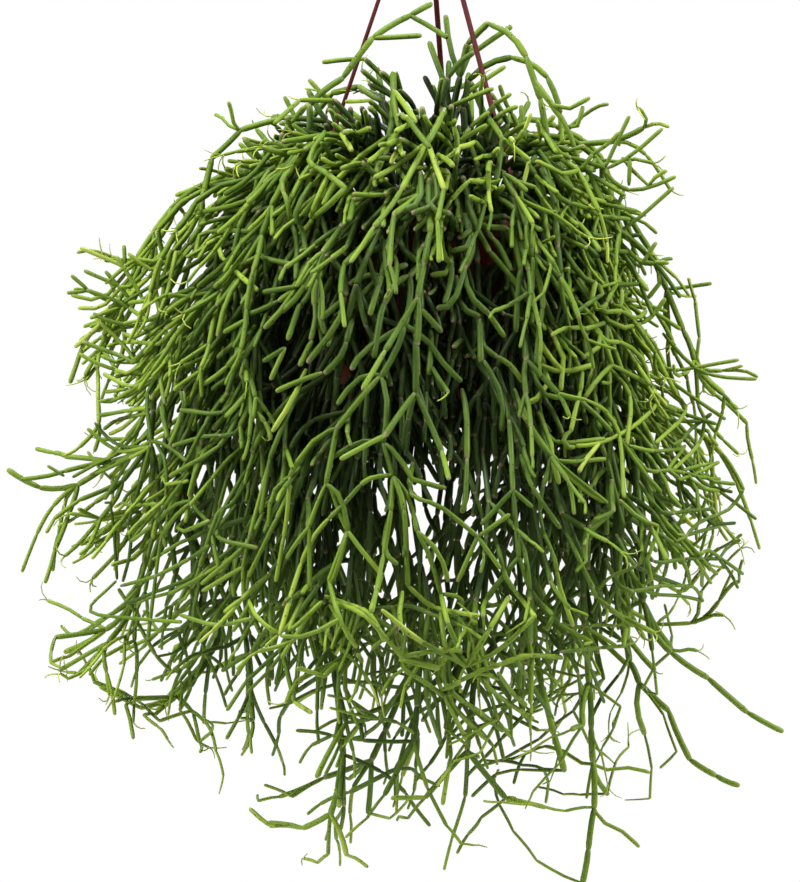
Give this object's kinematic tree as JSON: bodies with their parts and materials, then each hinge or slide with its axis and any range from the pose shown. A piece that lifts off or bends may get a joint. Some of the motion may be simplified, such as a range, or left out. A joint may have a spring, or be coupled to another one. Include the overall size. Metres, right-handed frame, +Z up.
{
  "type": "potted hanging cactus",
  "caption": "Hanging plastic pot on a strap hanger with a hook, almost hidden by a mop of thin, jointed, branching cactus stems that arch over the rim and hang.",
  "frame": {"origin": "underside of the hook's crown, where the hook bears on the rail or eye that carries it", "axes": "+Z up along the pot's axis, -Y toward the viewer of the picture, +X to the viewer's right"},
  "size_m": [0.4762, 0.3849, 0.6539],
  "materials": {
    "stems": "waxy green skin, semi-matte, paler at the young tips",
    "pot": "red-brown moulded plastic, soft gloss",
    "hanger": "dark red moulded plastic, soft gloss",
    "soil": "dark, dry, crumbly potting compost"
  },
  "bodies": {
    "root": {"pot": "pot", "soil": "soil", "hook": "hanger", "strap_1": "hanger", "strap_2": "hanger", "strap_3": "hanger", "spray_01": "stems", "spray_02": "stems", "spray_03": "stems", "spray_04": "stems", "spray_05": "stems", "spray_06": "stems", "spray_07": "stems", "spray_08": "stems", "spray_09": "stems", "spray_10": "stems", "spray_11": "stems", "spray_12": "stems", "spray_13": "stems", "spray_14": "stems", "spray_15": "stems", "spray_16": "stems", "spray_17": "stems", "spray_18": "stems", "spray_19": "stems", "spray_20": "stems", "spray_21": "stems", "spray_22": "stems", "spray_23": "stems", "spray_24": "stems", "spray_25": "stems", "spray_26": "stems", "spray_27": "stems", "spray_28": "stems", "spray_29": "stems", "spray_30": "stems", "spray_31": "stems", "spray_32": "stems", "spray_33": "stems", "spray_34": "stems", "spray_35": "stems", "spray_36": "stems", "spray_37": "stems", "spray_38": "stems", "spray_39": "stems", "spray_40": "stems", "spray_41": "stems", "spray_42": "stems", "spray_43": "stems", "spray_44": "stems", "spray_45": "stems", "spray_46": "stems", "spray_47": "stems", "spray_48": "stems", "spray_49": "stems", "spray_50": "stems", "spray_51": "stems", "spray_52": "stems", "spray_53": "stems", "spray_54": "stems"}
  },
  "joints": []
}
